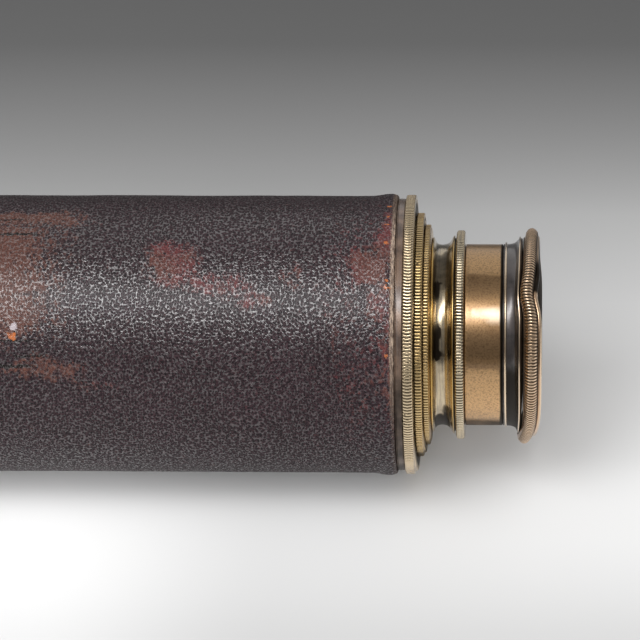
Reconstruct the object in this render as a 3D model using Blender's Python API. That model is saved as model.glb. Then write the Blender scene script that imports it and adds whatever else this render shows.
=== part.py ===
"""Leather-covered brass hand telescope with three draws, lying closed on its side.

Metres, +Z up. The optical axis runs along X with the eyepiece at +X, and z = 0 is the table.
Stations and radii below are in millimetres: a station is measured along the axis from the
left face of the barrel bush, and a radius is the flat-to-axis distance of the faceted ring.
"""

import math

import bmesh
import bpy
from mathutils import Matrix, Vector

MM = 0.001
SEGMENTS = 28          # facets round every turned piece; one facet faces straight down
SMALL_SEGMENTS = 16    # facets round screws, rivets and knobs

# Overall stations
CAP_FACE = -228.0      # outer face of the dust cap, the left end
EYE_END = 28.1         # lip of the eye cap, the right end
REST_RADIUS = 29.5     # cap bead and flared leather edge, which touch the table
GAP = 0.15             # running gap between nested pieces

# Barrel
LEATHER_LEFT, LEATHER_RIGHT = -212.1, -2.1
LEATHER_IN, LEATHER_OUT = 27.85, 29.0
TUBE_WALL = 0.6
BARREL_OUT = 27.7
BARREL_IN = BARREL_OUT - TUBE_WALL
COLLAR_OUT = 28.4
THREAD_IN = 26.3       # bore of the collar that takes the bush

# Draw tubes: outer radius, inner end station, outer end station
DRAW_1 = (24.0, -186.0, 2.35)
DRAW_2 = (21.6, -174.0, 4.10)
DRAW_3 = (19.2, -162.0, 5.35)
STOP_LENGTH = 4.0      # flange of a stop ring
STOP_SPIGOT = 6.0      # part of a stop ring that is screwed into the tube

# Milled rings: rim radius
RIM_1, RIM_2, RIM_3, RIM_4, RIM_5 = 29.2, 25.45, 23.0, 21.8, 22.3

# Eyepiece
INNER_TUBE_OUT = 17.8
INNER_TUBE_IN = 17.2
SLEEVE_OUT = 18.9
EYE_HOLE = 4.2
SHUTTER_PIVOT = 9.5    # distance of the rivet below the axis
SHUTTER_RADIUS = 5.6

# Objective
LENS_RADIUS = 23.6
LENS_SAG = 2.25
CELL_OUT = 25.85

MIDDLE = (CAP_FACE + EYE_END) / 2


def clear_scene():
    for old in list(bpy.data.objects):
        bpy.data.objects.remove(old, do_unlink=True)
    for old in list(bpy.data.materials):
        bpy.data.materials.remove(old)


def make_material(name, colour, metallic, roughness):
    material = bpy.data.materials.new(name)
    material.use_nodes = True
    shader = material.node_tree.nodes["Principled BSDF"]
    shader.inputs["Base Color"].default_value = (*colour, 1.0)
    shader.inputs["Metallic"].default_value = metallic
    shader.inputs["Roughness"].default_value = roughness
    material.diffuse_color = (*colour, 1.0)
    return material


def make_glass(name, colour):
    material = make_material(name, colour, 0.0, 0.03)
    shader = material.node_tree.nodes["Principled BSDF"]
    shader.inputs["Transmission Weight"].default_value = 1.0
    shader.inputs["IOR"].default_value = 1.52
    return material


FINISHES = {
    "leather": ((0.16, 0.11, 0.12), 0.0, 0.55),
    "brass_polished": ((0.72, 0.52, 0.26), 1.0, 0.22),
    "brass_collar": ((0.45, 0.36, 0.28), 1.0, 0.42),
    "brass_sleeve": ((0.52, 0.39, 0.27), 1.0, 0.38),
    "brass_draw": ((0.66, 0.49, 0.25), 1.0, 0.25),
    "brass_oxidised": ((0.10, 0.08, 0.07), 0.8, 0.45),
    "copper_worn": ((0.50, 0.31, 0.20), 1.0, 0.40),
    "brass_blackened": ((0.05, 0.045, 0.04), 0.6, 0.70),
}


def own_material(node, finish):
    """Each piece has its own material, so that any one of them can be changed alone."""
    if finish == "glass":
        return make_glass(node + "_glass", (0.90, 0.95, 0.93))
    colour, metallic, roughness = FINISHES[finish]
    return make_material(node + "_" + finish, colour, metallic, roughness)


def station(u):
    """World X of a station."""
    return (u - MIDDLE) * MM


def place(name, mesh, finish, origin, smooth=True):
    """Object of a mesh that is already in world coordinates, with its origin moved to a point."""
    mesh.transform(Matrix.Translation(-Vector(origin)))
    body = bpy.data.objects.new(name, mesh)
    body.location = origin
    bpy.context.scene.collection.objects.link(body)
    mesh.materials.append(own_material(name, finish))
    if smooth:
        mesh.shade_smooth()
        mesh.set_sharp_from_angle(angle=math.radians(35))
    return body


def ring_point(u, radius, index, count, centre):
    """Corner of the facets at a station: the flat faces lie at the stated radius."""
    angle = 2 * math.pi * (index + 0.5) / count - math.pi / 2
    reach = radius / math.cos(math.pi / count)
    return (
        station(u),
        centre[0] * MM + reach * math.cos(angle) * MM,
        (REST_RADIUS + centre[1] + reach * math.sin(angle)) * MM,
    )


def turned_mesh(name, profile, count, centre):
    """Closed body of a profile (station, radius) turned about the axis; radius 0 makes a pole."""
    build = bmesh.new()
    rings = []
    for u, radius in profile:
        if radius == 0:
            pole = build.verts.new(
                (station(u), centre[0] * MM, (REST_RADIUS + centre[1]) * MM)
            )
            rings.append([pole] * count)
        else:
            rings.append(
                [build.verts.new(ring_point(u, radius, i, count, centre)) for i in range(count)]
            )
    last = len(rings) - 1
    open_ended = profile[0][1] == 0 and profile[-1][1] == 0
    for k in range(last if open_ended else last + 1):
        one, two = rings[k], rings[(k + 1) % len(rings)]
        for i in range(count):
            j = (i + 1) % count
            corners = []
            for corner in (one[i], one[j], two[j], two[i]):
                if corner not in corners:
                    corners.append(corner)
            build.faces.new(corners)
    bmesh.ops.recalc_face_normals(build, faces=build.faces)
    mesh = bpy.data.meshes.new(name)
    build.to_mesh(mesh)
    build.free()
    return mesh


def turned(name, profile, finish, count=SEGMENTS, centre=(0.0, 0.0), origin_at=0.0):
    mesh = turned_mesh(name, profile, count, centre)
    origin = (station(origin_at), centre[0] * MM, (REST_RADIUS + centre[1]) * MM)
    return place(name, mesh, finish, origin)


def tube(name, left, right, outer, inner, finish, origin_at=0.0):
    profile = [(left, inner), (left, outer), (right, outer), (right, inner)]
    return turned(name, profile, finish, origin_at=origin_at)


def cutter(name, left, right, radius, centre):
    """Hidden rod that drills a hole parallel to the axis."""
    profile = [(left, 0), (left, radius), (right, radius), (right, 0)]
    mesh = turned_mesh(name, profile, SMALL_SEGMENTS, centre)
    rod = bpy.data.objects.new(name, mesh)
    bpy.context.scene.collection.objects.link(rod)
    rod.hide_render = True
    rod.display_type = "WIRE"
    return rod


def drill(body, rod):
    cut = body.modifiers.new("drill", "BOOLEAN")
    cut.operation = "DIFFERENCE"
    cut.solver = "EXACT"
    cut.object = rod


# ---------------------------------------------------------------- barrel


def make_leather():
    """Sewn cover, with its edge lifted and rolled at the eyepiece end."""
    profile = [
        (LEATHER_LEFT, LEATHER_IN),
        (LEATHER_LEFT, 28.7),
        (LEATHER_LEFT + 0.7, LEATHER_OUT),
        (LEATHER_RIGHT - 4.5, LEATHER_OUT),
        (LEATHER_RIGHT - 2.3, 29.3),
        (LEATHER_RIGHT - 1.6, REST_RADIUS),
        (LEATHER_RIGHT - 0.3, REST_RADIUS),
        (LEATHER_RIGHT, 29.15),
        (LEATHER_RIGHT, 28.35),
        (LEATHER_RIGHT - 1.2, LEATHER_IN),
    ]
    turned("leather_cover", profile, "leather")


def make_barrel_tube():
    tube("barrel_tube", LEATHER_LEFT, LEATHER_RIGHT + 0.05, BARREL_OUT, BARREL_IN, "brass_draw")


def make_barrel_collar():
    """Ring soldered into the mouth of the barrel, threaded inside for the bush."""
    profile = [
        (-16.0, THREAD_IN),
        (-16.0, BARREL_IN - GAP),
        (-1.9, BARREL_IN - GAP),
        (-1.9, COLLAR_OUT),
        (-0.9, COLLAR_OUT),
        (-0.15, 28.2),
        (-0.15, THREAD_IN),
    ]
    turned("barrel_collar", profile, "brass_collar")


def bush_profile(left, bore, thread_out, thread_left, sleeve_out, flange):
    """Closed profile of a bush: a guide sleeve, a threaded part, and a milled flange outside."""
    inner = [(left, bore), (left, sleeve_out), (thread_left, sleeve_out), (thread_left, thread_out)]
    start = flange[0][0]
    return inner + [(start, thread_out)] + flange + [(flange[-1][0], bore)]


def make_barrel_bush():
    flange = [
        (0.0, 29.0),
        (0.2, RIM_1),
        (1.3, RIM_1),
        (1.5, 28.9),
        (1.6, 28.6),
        (1.9, 28.6),
        (2.2, 28.1),
        (2.35, 27.4),
    ]
    profile = bush_profile(-32.0, DRAW_1[0] + GAP, 26.15, -14.0, 25.2, flange)
    turned("barrel_bush", profile, "brass_polished")


def make_objective_collar():
    """Front mount of the barrel: the cap slips over it and the cell screws into it."""
    profile = [
        (-226.0, 26.0),
        (-226.0, 28.1),
        (-225.7, COLLAR_OUT),
        (-212.3, COLLAR_OUT),
        (-212.3, BARREL_IN - GAP),
        (-200.0, BARREL_IN - GAP),
        (-200.0, 26.0),
    ]
    turned("objective_collar", profile, "brass_polished", origin_at=-212.0)


def make_objective_cell():
    """Threaded ring with a ledge at its back for the two lens elements."""
    profile = [
        (-223.0, 23.75),
        (-223.0, CELL_OUT),
        (-206.0, CELL_OUT),
        (-206.0, 22.4),
        (-208.0, 22.4),
        (-208.0, 23.75),
    ]
    turned("objective_cell", profile, "brass_blackened", origin_at=-212.0)


def arc_profile(u_centre, sag, radius, steps):
    """Points of a lens surface from the axis to the edge; sag moves the edge along the axis."""
    return [
        (u_centre + sag * (k / steps) ** 2, radius * k / steps) for k in range(steps + 1)
    ]


def lens(name, front_centre, front_sag, back_centre, back_sag, radius, steps=4, origin_at=0.0):
    """Lens between two curved faces, with a plain ground edge."""
    front = arc_profile(front_centre, front_sag, radius, steps)
    back = arc_profile(back_centre, back_sag, radius, steps)
    turned(name, front + back[::-1], "glass", origin_at=origin_at)


def make_objective_lenses():
    lens("crown_lens", -217.4, LENS_SAG, -210.9, -LENS_SAG, LENS_RADIUS, origin_at=-212.0)
    lens("flint_lens", -210.6, -LENS_SAG, -208.2, 0.0, LENS_RADIUS, origin_at=-212.0)
    tube("objective_retaining_ring", -217.4, -215.6, 23.6, 22.4, "brass_blackened", -212.0)


# ---------------------------------------------------------------- draws


def make_draw_tube(name, draw):
    outer, left, right = draw
    tube(name, left, right, outer, outer - TUBE_WALL, "brass_draw")


def make_stop_ring(name, draw, outer):
    """Ring on the inner end of a draw, too wide for the bush, so the draw can't pull out."""
    tube_in = draw[0] - TUBE_WALL
    bore = tube_in - 0.75
    joint = draw[1] - GAP
    profile = [
        (joint - STOP_LENGTH, bore),
        (joint - STOP_LENGTH, outer - 0.4),
        (joint - STOP_LENGTH + 0.4, outer),
        (joint, outer),
        (joint, tube_in - GAP),
        (joint + STOP_SPIGOT, tube_in - GAP),
        (joint + STOP_SPIGOT, bore),
    ]
    turned(name, profile, "brass_blackened")


def make_draw_1():
    make_draw_tube("draw_1_tube", DRAW_1)
    make_stop_ring("draw_1_stop_ring", DRAW_1, 26.7)
    flange = [
        (2.5, 25.2),
        (2.7, RIM_2),
        (3.6, RIM_2),
        (3.8, 25.2),
        (4.1, 24.6),
    ]
    profile = bush_profile(-26.0, DRAW_2[0] + GAP, 23.25, -8.0, 22.6, flange)
    turned("draw_1_bush", profile, "brass_polished")


def make_draw_2():
    make_draw_tube("draw_2_tube", DRAW_2)
    make_stop_ring("draw_2_stop_ring", DRAW_2, 23.15)
    flange = [
        (4.25, 22.75),
        (4.4, RIM_3),
        (5.15, RIM_3),
        (5.35, 22.7),
    ]
    profile = bush_profile(-22.0, DRAW_3[0] + GAP, 20.85, -6.0, 20.1, flange)
    turned("draw_2_bush", profile, "brass_polished")


def make_draw_3():
    make_draw_tube("draw_3_tube", DRAW_3)
    make_stop_ring("draw_3_stop_ring", DRAW_3, 20.75)


# ---------------------------------------------------------------- erector


def make_erector():
    """Tube in the inner end of the third draw, with two lenses that turn the image upright."""
    tube("erector_tube", -170.0, -104.0, 17.6, 17.0, "brass_blackened")
    cell = [(0.0, 11.2), (0.0, 16.85), (7.0, 16.85), (7.0, 9.6), (6.0, 9.6), (6.0, 11.2)]
    turned("erector_front_cell", [(u - 169.5, r) for u, r in cell], "brass_blackened")
    turned("erector_rear_cell", [(-104.5 - u, r) for u, r in cell], "brass_blackened")
    lens("erector_front_lens", -166.4, 1.3, -163.7, 0.0, 11.0)
    lens("erector_rear_lens", -110.3, 0.0, -107.6, -1.3, 11.0)
    tube("erector_stop", -138.0, -137.0, 16.85, 3.0, "brass_blackened")


# ---------------------------------------------------------------- eyepiece


def make_eyepiece_collar():
    """Waisted end fitting of the third draw, with a milled ring at its outer end."""
    bore = INNER_TUBE_OUT + GAP
    profile = [
        (-3.0, bore),
        (-3.0, 18.45),
        (5.5, 18.45),
        (5.5, 19.4),
        (6.2, 19.0),
        (7.3, 18.85),
        (8.5, 19.15),
        (9.4, 19.7),
        (9.8, 20.2),
        (10.1, 20.7),
        (10.3, 20.7),
        (10.3, 20.1),
        (10.5, 20.1),
        (10.5, 21.55),
        (10.75, RIM_4),
        (12.0, RIM_4),
        (12.25, 21.55),
        (12.25, bore),
    ]
    turned("eyepiece_collar", profile, "brass_polished")


def make_eyepiece_sleeve():
    profile = [
        (12.4, INNER_TUBE_OUT + GAP),
        (12.4, SLEEVE_OUT),
        (20.1, SLEEVE_OUT),
        (20.1, INNER_TUBE_OUT + GAP),
    ]
    turned("eyepiece_sleeve", profile, "brass_sleeve")


def make_eyepiece_optics():
    """Inner tube with the field lens at its far end, a field stop, and the eye lens."""
    tube("eyepiece_inner_tube", -26.0, 21.6, INNER_TUBE_OUT, INNER_TUBE_IN, "brass_blackened")
    front = [(-25.6, 14.2), (-25.6, 17.05), (-18.5, 17.05), (-18.5, 12.6), (-19.5, 12.6), (-19.5, 14.2)]
    turned("field_lens_cell", front, "brass_blackened")
    lens("field_lens", -23.6, 1.8, -19.7, 0.0, 14.0)
    tube("field_stop", -4.0, -3.0, 17.05, 8.5, "brass_blackened")
    back = [
        (13.0, 9.0),
        (13.0, 17.05),
        (21.4, 17.05),
        (21.4, 10.2),
        (14.5, 10.2),
        (14.5, 9.0),
    ]
    turned("eye_lens_cell", back, "brass_blackened")
    lens("eye_lens", 14.65, 1.3, 17.6, 0.0, 10.0)


def make_eye_cup():
    """Oxidised neck: a bead, then a hollow curve that widens to the cap."""
    profile = [
        (20.25, INNER_TUBE_OUT + GAP),
        (20.25, 18.8),
        (20.5, 19.1),
        (20.7, 19.35),
        (21.0, 19.35),
        (21.2, 19.05),
        (22.2, 19.25),
        (23.25, 20.0),
        (23.5, 20.5),
        (23.9, 20.5),
        (24.2, 20.2),
        (24.2, 17.4),
        (21.8, 17.4),
        (21.8, INNER_TUBE_OUT + GAP),
    ]
    turned("eye_cup", profile, "brass_oxidised")


def shutter_centre():
    return (0.0, -SHUTTER_PIVOT)


def make_eye_cap():
    """Screwed-on cap with a milled rim, a rounded lip and a recessed plate with the eye hole."""
    profile = [
        (24.35, 17.3),
        (24.35, 20.4),
        (24.5, 22.0),
        (24.75, RIM_5),
        (26.7, RIM_5),
        (26.95, 22.0),
        (27.1, 20.8),
        (27.7, 20.55),
        (EYE_END, 19.9),
        (EYE_END, 19.2),
        (27.6, 18.4),
        (25.5, 17.8),
        (25.5, EYE_HOLE),
        (24.7, EYE_HOLE),
        (24.7, 17.3),
    ]
    body = turned("eye_cap", profile, "copper_worn")
    drill(body, cutter("cut_cap_rivet_hole", 23.5, 26.5, 1.05, shutter_centre()))


def blade_outline():
    """Round blade over the eye hole, joined by straight sides to a boss round the rivet."""
    boss = 2.3
    tilt = math.asin((SHUTTER_RADIUS - boss) / SHUTTER_PIVOT)
    points = []
    for k in range(15):
        angle = -tilt + (math.pi + 2 * tilt) * k / 14
        points.append((SHUTTER_RADIUS * math.cos(angle), SHUTTER_RADIUS * math.sin(angle)))
    for k in range(9):
        angle = math.pi + tilt + (math.pi - 2 * tilt) * k / 8
        points.append((boss * math.cos(angle), -SHUTTER_PIVOT + boss * math.sin(angle)))
    return points


def make_eye_shutter():
    """Thin blade that swings on its rivet, away from the eye hole."""
    build = bmesh.new()
    layers = []
    for u in (25.65, 26.15):
        layers.append(
            [
                build.verts.new((station(u), y * MM, (REST_RADIUS + z) * MM))
                for y, z in blade_outline()
            ]
        )
    count = len(layers[0])
    build.faces.new(layers[0])
    build.faces.new(layers[1][::-1])
    for i in range(count):
        j = (i + 1) % count
        build.faces.new((layers[0][i], layers[0][j], layers[1][j], layers[1][i]))
    bmesh.ops.recalc_face_normals(build, faces=build.faces)
    mesh = bpy.data.meshes.new("eye_shutter")
    build.to_mesh(mesh)
    build.free()
    pivot = (station(25.9), 0.0, (REST_RADIUS - SHUTTER_PIVOT) * MM)
    body = place("eye_shutter", mesh, "brass_polished", pivot)
    hole = cutter("cut_shutter_hole", 24.0, 28.0, 1.05, shutter_centre())
    hole.parent = body
    hole.matrix_parent_inverse = Matrix.Translation(-Vector(pivot))
    drill(body, hole)


def make_shutter_fittings():
    rivet = [
        (23.9, 0),
        (23.9, 1.6),
        (24.5, 1.6),
        (24.5, 0.9),
        (26.3, 0.9),
        (26.3, 1.8),
        (26.6, 1.7),
        (26.85, 1.1),
        (26.9, 0),
    ]
    turned("shutter_rivet", rivet, "brass_polished", SMALL_SEGMENTS, shutter_centre(), 25.9)
    knob = [(26.3, 0), (26.3, 0.7), (26.9, 0.55), (27.1, 1.1), (27.6, 1.1), (27.75, 0.7), (27.8, 0)]
    turned("shutter_knob", knob, "brass_polished", SMALL_SEGMENTS, (0.0, 3.9), 25.9)


# ---------------------------------------------------------------- dust cap


def make_dust_cap():
    """Slip-on cap over the objective collar, with a bead round its open edge."""
    profile = [
        (CAP_FACE, 0),
        (CAP_FACE, 28.5),
        (CAP_FACE + 0.6, 29.2),
        (-218.0, 29.2),
        (-217.7, REST_RADIUS),
        (-216.6, REST_RADIUS),
        (-216.35, 29.2),
        (-216.35, 28.6),
        (-227.2, 28.6),
        (-227.2, 0),
    ]
    turned("dust_cap", profile, "brass_polished", origin_at=-222.0)


def main():
    clear_scene()
    make_leather()
    make_barrel_tube()
    make_barrel_collar()
    make_barrel_bush()
    make_objective_collar()
    make_objective_cell()
    make_objective_lenses()
    make_draw_1()
    make_draw_2()
    make_draw_3()
    make_erector()
    make_eyepiece_collar()
    make_eyepiece_sleeve()
    make_eyepiece_optics()
    make_eye_cup()
    make_eye_cap()
    make_eye_shutter()
    make_shutter_fittings()
    make_dust_cap()


main()
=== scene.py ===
"""Looks of a leather-covered brass draw telescope, built round its CAD frame.

Lengths in the tables are millimetres. A station u is measured along the axis from the left face
of the barrel bush, towards the eyepiece. An angle "above the view" is measured round the axis from
the line towards the camera, positive towards the top of the object.
"""

import math

import bmesh
import bpy
import numpy as np
from mathutils import Matrix, Vector


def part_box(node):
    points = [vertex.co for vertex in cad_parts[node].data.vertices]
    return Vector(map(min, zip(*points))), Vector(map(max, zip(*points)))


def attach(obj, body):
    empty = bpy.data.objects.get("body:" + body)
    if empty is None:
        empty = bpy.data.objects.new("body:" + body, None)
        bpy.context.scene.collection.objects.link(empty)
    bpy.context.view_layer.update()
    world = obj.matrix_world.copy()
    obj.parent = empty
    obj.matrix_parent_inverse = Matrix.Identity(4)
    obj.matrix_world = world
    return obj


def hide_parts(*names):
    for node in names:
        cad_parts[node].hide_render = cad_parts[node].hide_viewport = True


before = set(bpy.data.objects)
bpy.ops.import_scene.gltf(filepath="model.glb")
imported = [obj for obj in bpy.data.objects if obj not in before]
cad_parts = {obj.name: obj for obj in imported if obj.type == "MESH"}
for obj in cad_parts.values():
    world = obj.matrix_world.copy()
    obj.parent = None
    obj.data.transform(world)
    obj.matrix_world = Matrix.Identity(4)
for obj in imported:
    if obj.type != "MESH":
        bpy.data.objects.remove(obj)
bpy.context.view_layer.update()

MM = 0.001
VIEW_ELEVATION = math.radians(38.0)
FACING = math.pi / 2 - VIEW_ELEVATION  # angle from straight up to the camera's side
SEAM = FACING + math.pi  # the leather's sewn seam, away from the camera

_low, _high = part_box("leather_cover")
AXIS_Y = (_low.y + _high.y) / 2
AXIS_Z = (_low.z + _high.z) / 2
BUSH_FACE = 2.35  # right face of the barrel bush in the CAD
ZERO_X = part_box("barrel_bush")[1].x - BUSH_FACE * MM


# ---- noise


def value_noise(x, y, columns, rows, seed):
    """Smooth noise in -1..1 on a lattice; y repeats after rows cells, x after columns cells."""
    lattice = np.random.RandomState(seed).rand(columns, rows) * 2 - 1
    i, j = np.floor(x).astype(int), np.floor(y).astype(int)
    fx, fy = x - i, y - j
    fx, fy = fx * fx * (3 - 2 * fx), fy * fy * (3 - 2 * fy)
    i0, i1 = i % columns, (i + 1) % columns
    j0, j1 = j % rows, (j + 1) % rows
    low = lattice[i0, j0] * (1 - fx) + lattice[i1, j0] * fx
    high = lattice[i0, j1] * (1 - fx) + lattice[i1, j1] * fx
    return low * (1 - fy) + high * fy


def ring_noise(u, turn, length, cells, seed, octaves=3):
    """Fractal noise over a cylinder: cells round the ring, features of that length along it."""
    total, size = 0, 1.0
    for octave in range(octaves):
        count = cells * 2**octave
        x = u / length * 2**octave + 37.0 + 0 * turn
        y = turn / (2 * math.pi) * count + 0 * u
        total = total + size * value_noise(x, y, 97, count, seed + octave)
        size *= 0.5
    return total / 1.75


def bump_at(x, centre, width):
    return np.exp(-(((x - centre) / width) ** 2))


def smooth_step(x, low, high):
    t = np.clip((x - low) / (high - low), 0, 1)
    return t * t * (3 - 2 * t)


def between(x, low, full, keep, high):
    """1 from full to keep, falling smoothly to 0 at low and at high."""
    return smooth_step(x, low, full) * (1 - smooth_step(x, keep, high))


def above_view(turn):
    """Angle above the view, in degrees from -180 to 180, of an angle from straight up."""
    degrees = np.degrees(FACING - turn)
    return (degrees + 180) % 360 - 180


# ---- turned shapes


def rounded(points, steps=3, hold=0.05):
    """Dense closed profile of corners (u, radius) or (u, radius, fillet), with support points."""
    out = []
    count = len(points)
    most = 0.45  # of the shorter side, for a fillet
    for k, (*here, fillet) in enumerate((*point, 0)[:3] for point in points):
        back = np.array(points[k - 1][:2], float) - here
        ahead = np.array(points[(k + 1) % count][:2], float) - here
        la, lb = np.linalg.norm(back), np.linalg.norm(ahead)
        cut = min(fillet, most * la, most * lb)
        if cut <= 0:
            out.append(here)
            continue
        here = np.array(here)
        start, end = here + back / la * cut, here + ahead / lb * cut
        arc = [
            start * (1 - t) ** 2 + here * 2 * t * (1 - t) + end * t**2
            for t in np.linspace(0, 1, steps + 1)
        ]
        if la > 4 * hold + cut:
            arc.insert(0, start + back / la * hold)
        if lb > 4 * hold + cut:
            arc.append(end + ahead / lb * hold)
        out.extend(arc)
    return np.array(out)


def subdivided(profile, step):
    """The closed profile with its long segments cut to at most that length."""
    out = []
    for a, b in zip(profile, np.roll(profile, -1, axis=0)):
        parts = max(1, int(math.ceil(np.linalg.norm(b - a) / step)))
        out.extend(a + (b - a) * t / parts for t in range(parts))
    return np.array(out)


def at(u, y, z):
    """World place of a station and two offsets from the axis."""
    return ZERO_X + u * MM, AXIS_Y + y * MM, AXIS_Z + z * MM


def put_in_scene(name, data):
    made = bpy.data.objects.new(name, data)
    bpy.context.scene.collection.objects.link(made)
    return made


def rework(mesh, change):
    """Run bmesh operations on a mesh."""
    build = bmesh.new()
    build.from_mesh(mesh)
    change(build)
    build.to_mesh(mesh)
    build.free()


def mesh_of(name, points, faces, change):
    mesh = bpy.data.meshes.new(name)
    mesh.from_pydata(points, [], faces)
    rework(mesh, change)
    mesh.shade_smooth()
    return put_in_scene(name, mesh)


def stacked_faces(layers, count, base=0):
    """Faces of a closed stack of layers of points, with a face over each end."""
    faces = []
    for row in range(base, base + (layers - 1) * count, count):
        for k in range(count):
            j = (k + 1) % count
            faces.append((row + k, row + j, row + count + j, row + count + k))
    faces.append(tuple(base + k for k in range(count))[::-1])
    last = base + (layers - 1) * count
    faces.append(tuple(last + k for k in range(count)))
    return faces


def revolve(name, profile, columns, warp=None, start=0, centre=(0, 0), solid=False):
    """Closed mesh of a closed profile; warp(u, r, turn) moves points and gives point attributes.

    A solid one has points on the axis, which are merged.
    """
    rows = len(profile)
    turn = start + 2 * math.pi * np.arange(columns) / columns
    u = np.repeat(profile[:, :1], columns, axis=1)
    r = np.repeat(profile[:, 1:2], columns, axis=1)
    turns = np.repeat(turn[None, :], rows, axis=0)
    u, r, found = warp(u, r, turns) if warp else (u, r, {})
    place = at(u, centre[0] - r * np.sin(turns), centre[1] + r * np.cos(turns))
    points = np.stack(place, axis=-1).reshape(-1, 3)
    row, column = np.arange(rows)[:, None] * columns, np.arange(columns)[None, :]
    row_after, beside = np.roll(row, -1, axis=0), np.roll(column, -1, axis=1)
    corners = [row + column, row + beside, row_after + beside, row_after + column]
    faces = np.stack(corners, axis=-1).reshape(-1, 4)
    a, b, c, d = points[faces.T]
    volume = (a * (np.cross(b, c) + np.cross(c, d))).sum()
    arc = np.append(turn, start + 2 * math.pi) * profile[:, 1].max()
    uv = np.empty((rows, columns, 4, 2))
    uv[:, :, :2, 0] = profile[:, 0][:, None, None]
    uv[:, :, 2:, 0] = np.roll(profile[:, 0], -1)[:, None, None]
    uv[:, :, 0::3, 1] = arc[None, :-1, None]
    uv[:, :, 1:3, 1] = arc[None, 1:, None]
    uv = uv.reshape(-1, 4, 2)
    if volume < 0:
        faces, uv = faces[:, ::-1], uv[:, ::-1]
    mesh = bpy.data.meshes.new(name)
    mesh.vertices.add(len(points))
    mesh.vertices.foreach_set("co", points.astype(np.float32).ravel())
    mesh.loops.add(faces.size)
    mesh.loops.foreach_set("vertex_index", faces.astype(np.int32).ravel())
    mesh.polygons.add(len(faces))
    mesh.polygons.foreach_set("loop_start", np.arange(0, faces.size, 4, dtype=np.int32))
    mesh.update(calc_edges=True)
    mesh.validate()
    layer = mesh.uv_layers.new(name="unrolled")
    layer.data.foreach_set("uv", uv.astype(np.float32).ravel())
    for key, values in found.items():
        values = np.broadcast_to(values, u.shape).astype(np.float32)
        mesh.attributes.new(key, "FLOAT", "POINT").data.foreach_set("value", values.ravel())
    if solid:
        rework(mesh, lambda build: bmesh.ops.remove_doubles(build, verts=build.verts, dist=1e-7))
    mesh.shade_smooth()
    return put_in_scene(name, mesh)


def install(body, material, node, ride_on, slot):
    """Give a piece its material, and let it stand for a CAD node."""
    body.data.materials.append(MAT[material])
    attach(body, ride_on)
    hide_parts(node)


# ---- materials


GRIME_AND_SHADE = (0.022, 0.015, 0.009)
STREAK = (0.16, 0.135, 0.125)
DARK_LEATHER = (0.025, 0.011, 0.014)
DARK_LEATHER_2 = (0.037, 0.0175, 0.0225)
WORN_RED = (0.14, 0.034, 0.035)
WORN_BROWN = (0.118, 0.052, 0.038)
GRAIN_TONE = (0.08, 0.05, 0.056)
PORE_AND_PIT_SHADE = (0.006, 0.005, 0.006)
RUBBED_PORE = (0.035, 0.017, 0.014)
FIBRE = (0.44, 0.335, 0.255)
FIBRE_SHADE = (0.12, 0.084, 0.066)
FIBRE_SHADED_BELOW = (0.05, 0.034, 0.028)
SPOT_ORANGE = (0.36, 0.105, 0.03)
PAINTED_GLINT_PALE = (0.36, 0.31, 0.33)
TEAR_BLACK = (0.01, 0.007, 0.006)


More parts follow.
